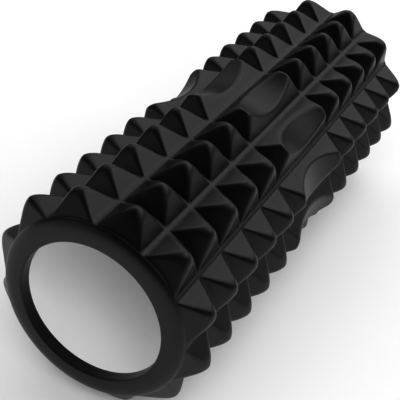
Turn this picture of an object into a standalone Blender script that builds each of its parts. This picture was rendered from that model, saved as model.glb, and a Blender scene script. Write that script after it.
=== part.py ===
"""Hollow foam massage roller: a studded foam sleeve on a rigid core tube.

The roller's axis lies along world Y and its origin is the middle of that axis, with +Z up. Twelve rows of
cells run along it. Each row is a run of pyramid studs, one long scooped cell in the middle, and a second run
of pyramid studs. Inside each builder function the axis is local Z, and the parent empty turns Z onto Y.
"""

import math

import bmesh
import bpy
from mathutils import Matrix, Vector

# Driving dimensions, in metres.
LENGTH = 0.330            # overall length of the roller
BORE_DIAMETER = 0.082     # clear hole through the core tube and through the foam lips
CORE_WALL = 0.0025        # wall of the core tube
FOAM_WALL = 0.0080        # foam between the core tube and the flats that the studs are measured from
STUD_HEIGHT = 0.0128      # tip of a stud above its flat
STUD_TOP = 0.0068         # width of the blunt top of a stud
LONG_CELL = 0.0777        # length of the scooped cell in the middle of each row
SCOOP_RADIUS = 0.062      # radius of the hollow across the top of each long cell
SCOOP_DEPTH = 0.0083      # deepest point of that hollow, below the stud tips
LIP_DEPTH = 0.0070        # how far each foam lip covers the end of the core tube
END_SETBACK = 0.0037      # how far the outer edge of an end face lies behind the lip
END_ROUND = 0.0080        # width of the rounding that leads back to that edge
RUN_SETBACK = 0.0026      # how far a row's cells stop behind the lip
ROW_STRIP = 0.0024        # strip of the round body left between two rows
CELL_GROOVE = 0.0012      # groove left between two cells of a row
EDGE_BEVEL = 0.0015       # chamfer along the ridges and tops of the cells
FIT_CLEARANCE = 0.0003    # gap between the core tube and the foam round it

ROWS = 12                 # rows of cells round the roller
STUDS_PER_RUN = 5         # pyramid studs on each side of the long cell
EMBED = 0.0010            # how far a cell is carried below its flat, to sink into the round body
ROUND_STEPS = 60          # facets of every round shape, a multiple of ROWS so that all rows are alike
ROUNDING_STEPS = 4        # facets of the rounding at each end
SCOOP_STEPS = 48          # facets of a whole scoop cutter
OVERRUN = 0.0100          # how far a cutter runs past what it cuts
TOP_SHARE = 0.4           # most of a stud's top that one chamfer may take from each side
FLAT_ANGLE = 0.001        # faces that meet at less than this, in radians, become one
WELD_DISTANCE = 0.00001   # points of a turned shape that are closer than this become one

# Sizes that follow from the driving dimensions.
BORE_RADIUS = BORE_DIAMETER / 2
CORE_RADIUS = BORE_RADIUS + CORE_WALL
SEAT_RADIUS = CORE_RADIUS + FIT_CLEARANCE
FLAT_RADIUS = CORE_RADIUS + FOAM_WALL                  # axis to the middle of a flat
ROW_ANGLE = 2 * math.pi / ROWS
FLAT_WIDTH = 2 * FLAT_RADIUS * math.tan(ROW_ANGLE / 2)
CELL_WIDTH = FLAT_WIDTH - ROW_STRIP
BODY_RADIUS = math.hypot(FLAT_RADIUS, CELL_WIDTH / 2)  # the round body passes through the sides of the cells
RUN_LENGTH = (LENGTH - LONG_CELL) / 2 - RUN_SETBACK    # one run of pyramid studs
STUD_PITCH = RUN_LENGTH / STUDS_PER_RUN
CORE_LENGTH = LENGTH - 2 * (LIP_DEPTH + FIT_CLEARANCE)


def clear_scene():
    """Remove whatever the scene holds."""
    for existing in list(bpy.data.objects):
        bpy.data.objects.remove(existing, do_unlink=True)


def add_collection(name):
    """Make a collection under the scene."""
    collection = bpy.data.collections.new(name)
    bpy.context.scene.collection.children.link(collection)
    return collection


def add_object(name, mesh, collection, parent):
    """Link a mesh object and hang it on its parent."""
    new_object = bpy.data.objects.new(name, mesh)
    collection.objects.link(new_object)
    new_object.parent = parent
    return new_object


def make_cutter(helper):
    """Keep a helper out of the finished model."""
    helper.hide_render = True
    helper.display_type = 'WIRE'
    return helper


def make_material(name, colour, roughness, metallic):
    """A plain Principled material."""
    material = bpy.data.materials.new(name)
    material.use_nodes = True
    shader = material.node_tree.nodes['Principled BSDF']
    shader.inputs['Base Color'].default_value = (*colour, 1.0)
    shader.inputs['Roughness'].default_value = roughness
    shader.inputs['Metallic'].default_value = metallic
    return material


def mesh_from_bmesh(name, shape):
    """Turn a bmesh into mesh data with its faces pointing out."""
    bmesh.ops.recalc_face_normals(shape, faces=shape.faces)
    mesh = bpy.data.meshes.new(name)
    shape.to_mesh(mesh)
    shape.free()
    return mesh


def turned_object(name, profile, collection, parent):
    """Turn a profile of (radius, height) points about local Z."""
    mesh = bpy.data.meshes.new(name)
    points = [(radius, 0.0, height) for radius, height in profile]
    mesh.from_pydata(points, [(i, i + 1) for i in range(len(points) - 1)], [])
    turned = add_object(name, mesh, collection, parent)
    screw = turned.modifiers.new('turn', 'SCREW')
    screw.axis = 'Z'
    screw.steps = ROUND_STEPS
    screw.render_steps = ROUND_STEPS
    screw.use_smooth_shade = True
    screw.use_merge_vertices = True
    screw.merge_threshold = WELD_DISTANCE
    return turned


def add_boolean(target, cutter, operation):
    """Join or cut the target with another object."""
    boolean = target.modifiers.new(operation.lower(), 'BOOLEAN')
    boolean.operation = operation
    boolean.solver = 'EXACT'
    boolean.object = cutter


def end_rounding():
    """Points of the far end's rounding, from its flat face out to its edge."""
    points = []
    for step in range(ROUNDING_STEPS + 1):
        angle = math.pi / 2 * step / ROUNDING_STEPS
        radius = BODY_RADIUS - END_ROUND * (1 - math.sin(angle))
        height = LENGTH / 2 - END_SETBACK * (1 - math.cos(angle))
        points.append((radius, height))
    return points


def body_profile():
    """Outline of the foam body without its cells, from one end of the axis to the other."""
    far_end = [(0.0, LENGTH / 2)] + end_rounding()
    near_end = [(radius, -height) for radius, height in reversed(far_end)]
    return far_end + near_end


def bore_profile():
    """Outline of the space inside the sleeve: the seat of the core tube, and the hole through both lips."""
    seat_end = LENGTH / 2 - LIP_DEPTH
    far_end = [(0.0, LENGTH / 2 + OVERRUN), (BORE_RADIUS, LENGTH / 2 + OVERRUN),
               (BORE_RADIUS, seat_end), (SEAT_RADIUS, seat_end)]
    near_end = [(radius, -height) for radius, height in reversed(far_end)]
    return far_end + near_end


def sunken_size(size):
    """Size of a stud's foot once its sloping sides are carried EMBED deep below its flat."""
    return STUD_TOP + (size - STUD_TOP) * (STUD_HEIGHT + EMBED) / STUD_HEIGHT


def add_frustum(shape, middle):
    """Add one stud, a four-sided frustum that stands EMBED deep in its flat, the local XY plane."""
    foot_width = sunken_size(CELL_WIDTH)
    foot_length = sunken_size(STUD_PITCH - CELL_GROOVE)
    for vertex in bmesh.ops.create_cube(shape, size=1.0)['verts']:
        is_top = vertex.co.z > 0
        vertex.co.x *= STUD_TOP if is_top else foot_width
        vertex.co.y *= STUD_TOP if is_top else foot_length
        vertex.co.y += middle
        vertex.co.z = STUD_HEIGHT if is_top else -EMBED


def bevel_ridges(shape):
    """Chamfer every edge of a cell that doesn't lie in its sunken base."""
    ridges = [edge for edge in shape.edges if max(v.co.z for v in edge.verts) > 0]
    bmesh.ops.bevel(shape, geom=ridges, offset=min(EDGE_BEVEL, TOP_SHARE * STUD_TOP), segments=1,
                    affect='EDGES', clamp_overlap=True)


def stud_mesh():
    """One pyramid stud on its flat: its tip is towards local Z."""
    shape = bmesh.new()
    add_frustum(shape, 0.0)
    bevel_ridges(shape)
    return mesh_from_bmesh('stud', shape)


def long_cell_mesh():
    """One long cell before it is scooped: the hull of two studs, one at each end of its length."""
    shape = bmesh.new()
    shift = (LONG_CELL - STUD_PITCH) / 2
    add_frustum(shape, -shift)
    add_frustum(shape, shift)
    hull = bmesh.ops.convex_hull(shape, input=shape.verts)
    bmesh.ops.delete(shape, geom=hull['geom_interior'] + hull['geom_unused'], context='VERTS')
    bmesh.ops.dissolve_limit(shape, angle_limit=FLAT_ANGLE, verts=shape.verts, edges=shape.edges)
    bevel_ridges(shape)
    return mesh_from_bmesh('long_cell', shape)


def cell_place(row, height):
    """Where a cell of a row stands: its tip points away from the axis, its length runs along the axis."""
    angle = (row + 0.5) * ROW_ANGLE
    outward = Vector((math.cos(angle), math.sin(angle), 0.0))
    sideways = Vector((-math.sin(angle), math.cos(angle), 0.0))
    turn = Matrix((sideways, Vector((0.0, 0.0, 1.0)), outward)).transposed().to_4x4()
    return Matrix.Translation(outward * FLAT_RADIUS + Vector((0.0, 0.0, height))) @ turn


def stud_heights():
    """Heights of the middles of the pyramid studs of one row."""
    first = LONG_CELL / 2 + STUD_PITCH / 2
    far_run = [first + STUD_PITCH * i for i in range(STUDS_PER_RUN)]
    return [-height for height in far_run] + far_run


def joined_copies(name, placed_meshes, collection, parent):
    """One helper object that holds a copy of each mesh at its place."""
    shape = bmesh.new()
    for mesh, place in placed_meshes:
        before = len(shape.verts)
        shape.from_mesh(mesh)
        shape.verts.ensure_lookup_table()
        bmesh.ops.transform(shape, matrix=place, verts=shape.verts[before:])
    return add_object(name, mesh_from_bmesh(name, shape), collection, parent)


def add_cells(collection, parent):
    """Every stud and long cell, ready to be joined to the foam body."""
    stud = stud_mesh()
    long_cell = long_cell_mesh()
    placed = []
    for row in range(ROWS):
        placed.append((long_cell, cell_place(row, 0.0)))
        placed += [(stud, cell_place(row, height)) for height in stud_heights()]
    return joined_copies('cells', placed, collection, parent)


def add_scoops(collection, parent):
    """Twelve drums, lying across the rows, that hollow the tops of the long cells."""
    drum = bmesh.new()
    lift = STUD_HEIGHT - SCOOP_DEPTH + SCOOP_RADIUS
    lie_down = Matrix.Translation((0.0, 0.0, lift)) @ Matrix.Rotation(math.pi / 2, 4, 'Y')
    bmesh.ops.create_cone(drum, cap_ends=True, segments=SCOOP_STEPS, radius1=SCOOP_RADIUS,
                          radius2=SCOOP_RADIUS, depth=CELL_WIDTH, matrix=lie_down)
    drum_mesh = mesh_from_bmesh('scoop', drum)
    placed = [(drum_mesh, cell_place(row, 0.0)) for row in range(ROWS)]
    return joined_copies('scoops', placed, collection, parent)


def build_foam_sleeve(parts, cutters, axis):
    """The foam: a round body with rounded ends, its cells, and the space for the core tube."""
    sleeve = turned_object('foam_sleeve', body_profile(), parts, axis)
    cells = make_cutter(add_cells(cutters, axis))
    scoops = make_cutter(add_scoops(cutters, axis))
    bore = make_cutter(turned_object('bore', bore_profile(), cutters, axis))
    add_boolean(cells, scoops, 'DIFFERENCE')
    add_boolean(sleeve, cells, 'UNION')
    add_boolean(sleeve, bore, 'DIFFERENCE')
    foam = make_material('black_eva_foam', (0.012, 0.012, 0.013), 0.62, 0.0)
    sleeve.data.materials.append(foam)
    return sleeve


def build_core_tube(parts, axis):
    """The rigid tube inside the foam, held between the two lips."""
    half = CORE_LENGTH / 2
    profile = [(BORE_RADIUS, half), (CORE_RADIUS, half), (CORE_RADIUS, -half),
               (BORE_RADIUS, -half), (BORE_RADIUS, half)]
    tube = turned_object('core_tube', profile, parts, axis)
    plastic = make_material('grey_core_plastic', (0.55, 0.55, 0.55), 0.40, 0.0)
    tube.data.materials.append(plastic)
    return tube


def main():
    """Build the roller."""
    clear_scene()
    parts = add_collection('foam_roller')
    cutters = add_collection('foam_roller_cutters')
    axis = bpy.data.objects.new('roller_axis', None)
    parts.objects.link(axis)
    axis.rotation_euler = (-math.pi / 2, 0.0, 0.0)
    build_foam_sleeve(parts, cutters, axis)
    build_core_tube(parts, axis)


main()
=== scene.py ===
import math

import bpy
import numpy as np
from mathutils import Matrix, Vector


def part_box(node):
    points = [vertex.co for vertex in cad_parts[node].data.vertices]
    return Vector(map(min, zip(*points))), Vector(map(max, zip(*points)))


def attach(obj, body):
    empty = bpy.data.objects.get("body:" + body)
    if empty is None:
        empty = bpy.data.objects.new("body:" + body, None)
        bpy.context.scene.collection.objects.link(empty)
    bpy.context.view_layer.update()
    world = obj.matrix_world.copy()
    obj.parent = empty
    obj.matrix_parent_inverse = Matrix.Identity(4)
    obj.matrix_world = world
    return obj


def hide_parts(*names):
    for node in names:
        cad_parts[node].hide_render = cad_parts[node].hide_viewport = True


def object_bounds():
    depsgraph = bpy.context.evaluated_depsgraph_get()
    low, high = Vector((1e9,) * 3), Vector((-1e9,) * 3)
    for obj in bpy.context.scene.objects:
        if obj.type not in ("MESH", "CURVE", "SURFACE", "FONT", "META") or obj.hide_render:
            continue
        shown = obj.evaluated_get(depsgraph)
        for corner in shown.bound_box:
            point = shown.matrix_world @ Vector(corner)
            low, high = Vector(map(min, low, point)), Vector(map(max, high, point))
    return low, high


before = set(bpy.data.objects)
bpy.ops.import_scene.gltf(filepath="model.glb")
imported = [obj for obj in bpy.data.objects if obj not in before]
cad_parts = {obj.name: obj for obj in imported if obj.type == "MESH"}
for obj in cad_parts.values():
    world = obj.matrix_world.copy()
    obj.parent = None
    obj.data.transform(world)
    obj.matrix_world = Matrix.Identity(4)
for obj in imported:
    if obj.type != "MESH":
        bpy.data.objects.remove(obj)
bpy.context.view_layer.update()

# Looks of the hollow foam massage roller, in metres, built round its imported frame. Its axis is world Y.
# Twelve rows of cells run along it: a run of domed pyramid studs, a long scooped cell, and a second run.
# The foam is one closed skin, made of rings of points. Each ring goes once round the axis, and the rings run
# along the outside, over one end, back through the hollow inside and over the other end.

# Sizes read from the frame.
HALF_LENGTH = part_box("foam_sleeve")[1].y
CORE_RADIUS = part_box("core_tube")[1].z
CORE_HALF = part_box("core_tube")[1].y

# Foam sleeve. Each row's cells are measured from a flat plane that faces straight out from the axis.
ROWS = 12
STUDS_PER_RUN = 5
FOAM_THICKNESS = 0.0080                # core tube to that plane
CORE_WALL = 0.0025
CORE_GAP = 0.0003                      # room left for the adhesive between the foam and the core tube
STRIP_WIDTH = 0.0024                   # strip of the round body between two rows
GROOVE_WIDTH = 0.0012                  # floor of the groove between two cells of a row
APEX_HEIGHT = 0.0175                   # where a stud's four faces would meet
STUD_HEIGHT = 0.0128                   # tip of the domed stud
TIP_SOFTNESS = 0.0013                  # how far the faces' meeting point is drawn out into a dome
DOME_HEIGHT = 0.0146                   # level that the dome leans against
DOME_BLEND = 0.0062                    # height over which the faces turn into the dome
RIDGE_FOOT_BLEND = 0.0012              # height over which two faces turn into each other, at the foot
RIDGE_GROWTH = 0.34                    # how much that height grows for each unit of height
FOOT_BLEND = 0.0009                    # fillet where a face leaves the round body
LONG_CELL = 0.0777                     # length of the scooped cell
SCOOP_RADIUS = 0.062
SCOOP_FLOOR = 0.0045                   # lowest point of the scoop, above the plane
SCOOP_BLEND = 0.0016                   # rounding of the scoop's edges
END_SETBACK = 0.0037                   # outer edge of an end, behind its flat face
RUN_SETBACK = 0.0026                   # middle of the groove after a row's last stud, behind that face
END_ROUND = 0.0080                     # width of the rounding that leads back to that edge
LIP_ROUND = 0.0010                     # rounding of the opening's edge

# How finely the foam is divided.
CELL_STEPS = 15                        # from a stud's foot to its middle
LONG_STEPS = 46                        # from the long cell's foot to its middle
STEP_GROWTH = 1.25                     # above 1, steps are shorter near the foot
STRIP_STEPS = 2
END_STEPS = 10
FACE_STEPS = 4
LIP_STEPS = 5
WALL_STEPS = 4

# Sizes that follow.
FLAT_RADIUS = CORE_RADIUS + FOAM_THICKNESS             # axis to the plane that a row is measured from
BORE_RADIUS = CORE_RADIUS - CORE_WALL                  # opening in each end, and the inside of the core tube
SEAT_RADIUS = CORE_RADIUS + CORE_GAP                   # hollow that holds the core tube
LIP_DEPTH = HALF_LENGTH - CORE_HALF - CORE_GAP
HALF_ROW = math.pi / ROWS
BODY_RADIUS = FLAT_RADIUS / math.cos(HALF_ROW) - STRIP_WIDTH / 2 * math.tan(HALF_ROW)
ROW_SIDE = BODY_RADIUS * math.sin(HALF_ROW)            # middle of a row to the middle of a strip
CELL_SIDE = ROW_SIDE - STRIP_WIDTH / 2 * math.cos(HALF_ROW)
EDGE_PLACE = HALF_LENGTH - END_SETBACK
PITCH = (HALF_LENGTH - RUN_SETBACK - LONG_CELL / 2) / STUDS_PER_RUN

# Core tube.
TUBE_STEPS = 240
TUBE_RINGS = 24
RIM_ROUND = 0.0004
RIM_STEPS = 4

# Black foam. A noise scale counts features per metre, and each pair of values is a range.
FOAM_DARK = (0.0020, 0.0020, 0.0021)
FOAM_LIGHT = (0.0030, 0.0030, 0.0031)
FOAM_ROUGHNESS = (0.38, 0.44)
FOAM_IOR = 1.42
PATCH_SCALE = 55.0
RIPPLE_SCALE = 260.0
RIPPLE_STRENGTH = 0.25
RIPPLE_DEPTH = 0.0003
PEBBLE_SCALE = 1500.0
PEBBLE_STRENGTH = 0.35
PEBBLE_DEPTH = 0.00008

# Grey plastic.
PLASTIC_DARK = (0.83, 0.83, 0.83)
PLASTIC_LIGHT = (0.87, 0.87, 0.87)
PLASTIC_ROUGHNESS = (0.36, 0.46)
CLOUD_SCALE = 18.0
LINE_SCALE = 420.0
LINE_STRETCH = (1.0, 0.02, 1.0)        # draws the noise out along the tube
LINE_STRENGTH = 0.12
LINE_DEPTH = 0.0001
MIDDLE_OF_NOISE = (0.3, 0.7)           # part of the noise that the two colours are spread over

# Floor.
FLOOR_DARK = (0.90, 0.90, 0.90)
FLOOR_LIGHT = (0.93, 0.93, 0.93)
FLOOR_ROUGHNESS = 0.9
FLOOR_SCALE = 6.0
FLOOR_REACH = 12.0                     # middle of the floor to its sides

# Camera and lights.
CAMERA_PLACE = Vector((0.1937, -0.4783, 0.3145))
VIEW_AZIMUTH = math.radians(23.94)
VIEW_ELEVATION = math.radians(33.32)
VIEW_ROLL = math.radians(5.70)
LENS = 85.9
LIGHT_SIZE = 3.4
LIGHT_DISTANCE = 4.0
WORLD_LEVEL = 0.35
VIEW_GAMMA = 0.8


def smooth_lower(a, b, blend):
    """The lower of two heights, with a rounded change from one to the other."""
    near = np.maximum(blend - np.abs(a - b), 0.0) / blend
    return np.minimum(a, b) - near * near * blend / 4


def smooth_upper(a, b, blend):
    """The higher of two heights, with a rounded change from one to the other."""
    return -smooth_lower(-a, -b, blend)


def foot_to_middle(half, steps):
    """Distances from a cell's foot to its middle, closer together near the foot."""
    return half * (np.arange(steps + 1) / steps) ** STEP_GROWTH


def cell_places(middle, length, steps):
    """Places along a row that divide one cell, from its groove's middle up to just short of the next one."""
    foot = (length - GROOVE_WIDTH) / 2
    rising = foot_to_middle(foot, steps) - foot
    falling = -rising[-2::-1]
    return middle + np.concatenate([[-length / 2], rising, falling])


def row_cells():
    """The cells of a row as (middle, length, steps), from the near end to the far end."""
    run = [LONG_CELL / 2 + PITCH * (i + 0.5) for i in range(STUDS_PER_RUN)]
    near = [(-middle, PITCH, CELL_STEPS) for middle in reversed(run)]
    far = [(middle, PITCH, CELL_STEPS) for middle in run]
    return near + [(0.0, LONG_CELL, LONG_STEPS)] + far


def across_places():
    """Places across one row, from the middle of one strip up to just short of the next one."""
    rising = foot_to_middle(CELL_SIDE, CELL_STEPS) - CELL_SIDE
    strip = np.linspace(-ROW_SIDE, -CELL_SIDE, STRIP_STEPS, endpoint=False)
    return np.concatenate([strip, rising, -rising[-2::-1], -strip[:0:-1]])


def floor_height(across):
    """The round body that the cells stand on, measured from the row's plane."""
    return np.sqrt(BODY_RADIUS ** 2 - across ** 2) - FLAT_RADIUS


def cell_height(across, along, length):
    """Height of a cell above its row's plane, at places measured from the cell's middle."""
    foot = (length - GROOVE_WIDTH) / 2
    stud_foot = (PITCH - GROOVE_WIDTH) / 2
    sides = APEX_HEIGHT * (1 - np.hypot(across, TIP_SOFTNESS) / CELL_SIDE)
    ends = APEX_HEIGHT * (foot - np.hypot(along, TIP_SOFTNESS)) / stud_foot
    ridge = RIDGE_FOOT_BLEND + RIDGE_GROWTH * np.maximum(np.minimum(sides, ends), 0.0)
    height = smooth_lower(sides, ends, ridge)
    if length == LONG_CELL:
        scoop = SCOOP_FLOOR + SCOOP_RADIUS - np.sqrt(SCOOP_RADIUS ** 2 - along ** 2)
        return smooth_lower(height, scoop, SCOOP_BLEND)
    return smooth_lower(height, DOME_HEIGHT, DOME_BLEND)


def to_stud_height():
    """Scale that brings a domed tip to its exact height."""
    return STUD_HEIGHT / float(cell_height(np.zeros(1), np.zeros(1), PITCH)[0])


def ring_points(across, height, place):
    """Points over all the rows at one place along the roller, in order round the axis."""
    rows = []
    for row in range(ROWS):
        angle = HALF_ROW * (2 * row + 1)
        outward = FLAT_RADIUS + height
        x = outward * math.cos(angle) - across * math.sin(angle)
        z = outward * math.sin(angle) + across * math.cos(angle)
        rows.append(np.stack([x, np.full_like(x, place), z], axis=1))
    return np.concatenate(rows)


def outside_rings():
    """Rings along the outside, from the near edge to the far edge."""
    across = across_places()
    floor = floor_height(across)
    scale = to_stud_height()
    rings = [ring_points(across, floor, -EDGE_PLACE)]
    for middle, length, steps in row_cells():
        places = cell_places(middle, length, steps)
        for place in places[np.abs(places) < EDGE_PLACE]:
            raised = scale * cell_height(across, np.full_like(across, place - middle), length)
            height = smooth_upper(raised, floor, FOOT_BLEND)
            rings.append(ring_points(across, height, place))
    rings.append(ring_points(across, floor, EDGE_PLACE))
    return rings


def circle_like(ring, radius, place):
    """A circle whose points lie at the same angles as the points of a ring."""
    distance = np.hypot(ring[:, 0], ring[:, 2])
    scale = radius / distance
    return np.stack([ring[:, 0] * scale, np.full_like(scale, place), ring[:, 2] * scale], axis=1)


def end_rings(edge):
    """Rings of the far end: from its outer edge, over the rounding and the flat face, to the core's seat."""
    mouth = circle_like(edge, BORE_RADIUS + LIP_ROUND, 0.0)
    width = BODY_RADIUS - BORE_RADIUS - LIP_ROUND
    places = []
    for step in range(1, END_STEPS + 1):
        angle = math.pi / 2 * (1 - step / END_STEPS)
        places.append((END_ROUND * (1 - math.sin(angle)), END_SETBACK * (1 - math.cos(angle))))
    for step in range(1, FACE_STEPS + 1):
        places.append((END_ROUND + (width - END_ROUND) * step / FACE_STEPS, 0.0))
    rings = []
    for inward, back in places:
        share = inward / width
        ring = edge * (1 - share) + mouth * share
        ring[:, 1] = HALF_LENGTH - back
        rings.append(ring)
    for step in range(1, LIP_STEPS + 1):
        angle = math.pi / 2 * step / LIP_STEPS
        radius = BORE_RADIUS + LIP_ROUND * (1 - math.sin(angle))
        rings.append(circle_like(edge, radius, HALF_LENGTH - LIP_ROUND * (1 - math.cos(angle))))
    for step in range(1, WALL_STEPS + 1):
        back = LIP_ROUND + (LIP_DEPTH - LIP_ROUND) * step / WALL_STEPS
        rings.append(circle_like(edge, BORE_RADIUS, HALF_LENGTH - back))
    rings.append(circle_like(edge, SEAT_RADIUS, HALF_LENGTH - LIP_DEPTH))
    return rings


def closed_skin(name, rings):
    """One closed mesh from rings that run round a hollow and back to the first one."""
    points = np.concatenate(rings)
    around, count = len(rings[0]), len(rings)
    ring, spot = np.meshgrid(np.arange(count), np.arange(around), indexing='ij')
    next_ring, next_spot = (ring + 1) % count, (spot + 1) % around
    corners = [ring * around + spot, next_ring * around + spot,
               next_ring * around + next_spot, ring * around + next_spot]
    quads = np.stack(corners, axis=-1).reshape(-1, 4)
    mesh = bpy.data.meshes.new(name)
    mesh.from_pydata(points.tolist(), [], quads.tolist())
    mesh.shade_smooth()
    skin = bpy.data.objects.new(name, mesh)
    bpy.context.scene.collection.objects.link(skin)
    return skin


def build_foam_sleeve():
    """The studded foam, with its rounded ends and the lips that hold the core tube."""
    outside = outside_rings()
    far_end = end_rings(outside[-1])
    near_end = [ring * np.array([1.0, -1.0, 1.0]) for ring in reversed(far_end)]
    return closed_skin('foam_skin', outside + far_end + near_end)


def build_core_tube():
    """The rigid tube inside the foam, with rounded rims."""
    inner, outer = BORE_RADIUS, CORE_RADIUS
    profile = [(inner, y) for y in np.linspace(-CORE_HALF + RIM_ROUND, CORE_HALF - RIM_ROUND, TUBE_RINGS)]
    for middle, first in ((inner + RIM_ROUND, math.pi), (outer - RIM_ROUND, math.pi / 2)):
        for step in range(RIM_STEPS + 1):
            angle = first - math.pi / 2 * step / RIM_STEPS
            profile.append((middle + RIM_ROUND * math.cos(angle),
                            CORE_HALF - RIM_ROUND + RIM_ROUND * math.sin(angle)))
    profile += [(radius, -y) for radius, y in reversed(profile[TUBE_RINGS:])]
    turns = 2 * math.pi * np.arange(TUBE_STEPS) / TUBE_STEPS
    rings = [np.stack([radius * np.cos(turns), np.full(TUBE_STEPS, y), radius * np.sin(turns)], axis=1)
             for radius, y in reversed(profile)]
    return closed_skin('core_tube_fine', rings)


def add_node(tree, kind, **values):
    """A node with its input values set by name."""
    node = tree.nodes.new(kind)
    for name, value in values.items():
        node.inputs[name.replace('_', ' ')].default_value = value
    return node


def noise(tree, vector, scale, detail):
    """Noise over the piece's own coordinates."""
    node = add_node(tree, 'ShaderNodeTexNoise', Scale=scale, Detail=detail)
    tree.links.new(vector, node.inputs['Vector'])
    return node.outputs['Fac']


def ramp(tree, value, low, high, stops=(0.0, 1.0)):
    """A two-colour ramp driven by a value."""
    node = tree.nodes.new('ShaderNodeValToRGB')
    for element, stop, colour in zip(node.color_ramp.elements, stops, (low, high)):
        element.position = stop
        element.color = (*colour, 1.0)
    tree.links.new(value, node.inputs['Fac'])
    return node.outputs['Color']


def map_range(tree, value, low, high):
    """A 0 to 1 value stretched to run from low to high."""
    node = add_node(tree, 'ShaderNodeMapRange', To_Min=low, To_Max=high)
    tree.links.new(value, node.inputs['Value'])
    return node.outputs['Result']


def bump(tree, height, strength, distance, below=None):
    """A bump from a height, laid over another bump if there is one."""
    node = add_node(tree, 'ShaderNodeBump', Strength=strength, Distance=distance)
    tree.links.new(height, node.inputs['Height'])
    if below is not None:
        tree.links.new(below, node.inputs['Normal'])
    return node.outputs['Normal']


def new_material(name):
    """A node material, its tree, its shader and its object coordinates."""
    material = bpy.data.materials.new(name)
    material.use_nodes = True
    tree = material.node_tree
    coordinates = tree.nodes.new('ShaderNodeTexCoord').outputs['Object']
    return material, tree, tree.nodes['Principled BSDF'], coordinates


def foam_material():
    """Black EVA foam: a satin moulded skin with a slight ripple and a fine pebble."""
    material, tree, shader, place = new_material('black_eva_foam_skin')
    patches = noise(tree, place, PATCH_SCALE, 4.0)
    pebble = noise(tree, place, PEBBLE_SCALE, 3.0)
    ripple = noise(tree, place, RIPPLE_SCALE, 2.0)
    base = ramp(tree, patches, FOAM_DARK, FOAM_LIGHT, MIDDLE_OF_NOISE)
    soft = bump(tree, ripple, RIPPLE_STRENGTH, RIPPLE_DEPTH)
    pebbled = bump(tree, pebble, PEBBLE_STRENGTH, PEBBLE_DEPTH, soft)
    tree.links.new(base, shader.inputs['Base Color'])
    tree.links.new(map_range(tree, patches, *FOAM_ROUGHNESS), shader.inputs['Roughness'])
    tree.links.new(pebbled, shader.inputs['Normal'])
    shader.inputs['IOR'].default_value = FOAM_IOR
    return material


def core_material():
    """Light grey extruded plastic: satin, with faint lines along the tube."""
    material, tree, shader, place = new_material('grey_core_plastic_skin')
    stretch = add_node(tree, 'ShaderNodeMapping', Scale=LINE_STRETCH)
    tree.links.new(place, stretch.inputs['Vector'])
    lines = noise(tree, stretch.outputs['Vector'], LINE_SCALE, 3.0)
    clouds = noise(tree, place, CLOUD_SCALE, 3.0)
    base = ramp(tree, clouds, PLASTIC_DARK, PLASTIC_LIGHT, MIDDLE_OF_NOISE)
    tree.links.new(base, shader.inputs['Base Color'])
    tree.links.new(map_range(tree, lines, *PLASTIC_ROUGHNESS), shader.inputs['Roughness'])
    tree.links.new(bump(tree, lines, LINE_STRENGTH, LINE_DEPTH), shader.inputs['Normal'])
    return material


def floor_material():
    """Plain pale floor."""
    material, tree, shader, place = new_material('pale_floor')
    base = ramp(tree, noise(tree, place, FLOOR_SCALE, 2.0), FLOOR_DARK, FLOOR_LIGHT)
    tree.links.new(base, shader.inputs['Base Color'])
    shader.inputs['Roughness'].default_value = FLOOR_ROUGHNESS
    return material


def towards_view(azimuth, elevation):
    """Direction from the roller to a viewpoint, by its azimuth from -Y and its elevation."""
    return Vector((math.sin(azimuth) * math.cos(elevation),
                   -math.cos(azimuth) * math.cos(elevation),
                   math.sin(elevation)))


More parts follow.
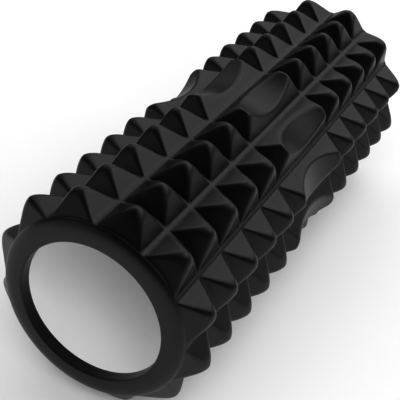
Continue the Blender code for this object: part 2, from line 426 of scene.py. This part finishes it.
def add_camera():
    """The camera, aimed by its azimuth, its elevation, and its roll about the line of sight."""
    back = towards_view(VIEW_AZIMUTH, VIEW_ELEVATION)
    look = (-back).to_track_quat('-Z', 'Y').to_matrix().to_4x4()
    lens = bpy.data.cameras.new('camera')
    lens.lens = LENS
    camera = bpy.data.objects.new('camera', lens)
    camera.matrix_world = Matrix.Translation(CAMERA_PLACE) @ look @ Matrix.Rotation(VIEW_ROLL, 4, 'Z')
    bpy.context.scene.collection.objects.link(camera)
    bpy.context.scene.camera = camera


def add_floor():
    """A plain floor under the lowest studs."""
    mesh = bpy.data.meshes.new('floor')
    corners = [(FLOOR_REACH * x, FLOOR_REACH * y, 0.0) for x, y in ((-1, -1), (1, -1), (1, 1), (-1, 1))]
    mesh.from_pydata(corners, [], [(0, 1, 2, 3)])
    floor = bpy.data.objects.new('floor', mesh)
    floor.location.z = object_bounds()[0][2]
    mesh.materials.append(floor_material())
    bpy.context.scene.collection.objects.link(floor)


def add_light(name, azimuth, elevation, power, reflected=True):
    """A large soft box that faces the roller, placed by its azimuth and its elevation."""
    towards = towards_view(math.radians(azimuth), math.radians(elevation))
    lamp = bpy.data.lights.new(name, 'AREA')
    lamp.size = LIGHT_SIZE
    lamp.energy = power
    light = bpy.data.objects.new(name, lamp)
    light.location = towards * LIGHT_DISTANCE
    light.rotation_euler = (-towards).to_track_quat('-Z', 'Y').to_euler()
    light.visible_glossy = reflected
    bpy.context.scene.collection.objects.link(light)


def add_world():
    """Even pale surroundings, which soften the shadows and aren't reflected."""
    world = bpy.data.worlds.new('studio')
    world.use_nodes = True
    background = world.node_tree.nodes['Background']
    background.inputs['Color'].default_value = (1.0, 1.0, 1.0, 1.0)
    background.inputs['Strength'].default_value = WORLD_LEVEL
    world.cycles_visibility.glossy = False
    bpy.context.scene.world = world


# The object.
foam = build_foam_sleeve()
foam.data.materials.append(foam_material())
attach(foam, "root")
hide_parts("foam_sleeve")

core = build_core_tube()
core.data.materials.append(core_material())
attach(core, "root")
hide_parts("core_tube")

# The stage. The lights behind and beside the roller make its reflections, and the fill box isn't reflected.
add_camera()
add_floor()
add_light('right_box', 135.0, 44.0, 60.0)
add_light('back_box', 180.0, 36.0, 40.0)
add_light('back_left_box', 225.0, 44.0, 28.0)
add_light('left_box', 315.0, 20.0, 18.0)
add_light('fill_box', 30.0, 42.0, 105.0, reflected=False)
add_world()
bpy.context.scene.view_settings.view_transform = 'Standard'
bpy.context.scene.view_settings.gamma = VIEW_GAMMA
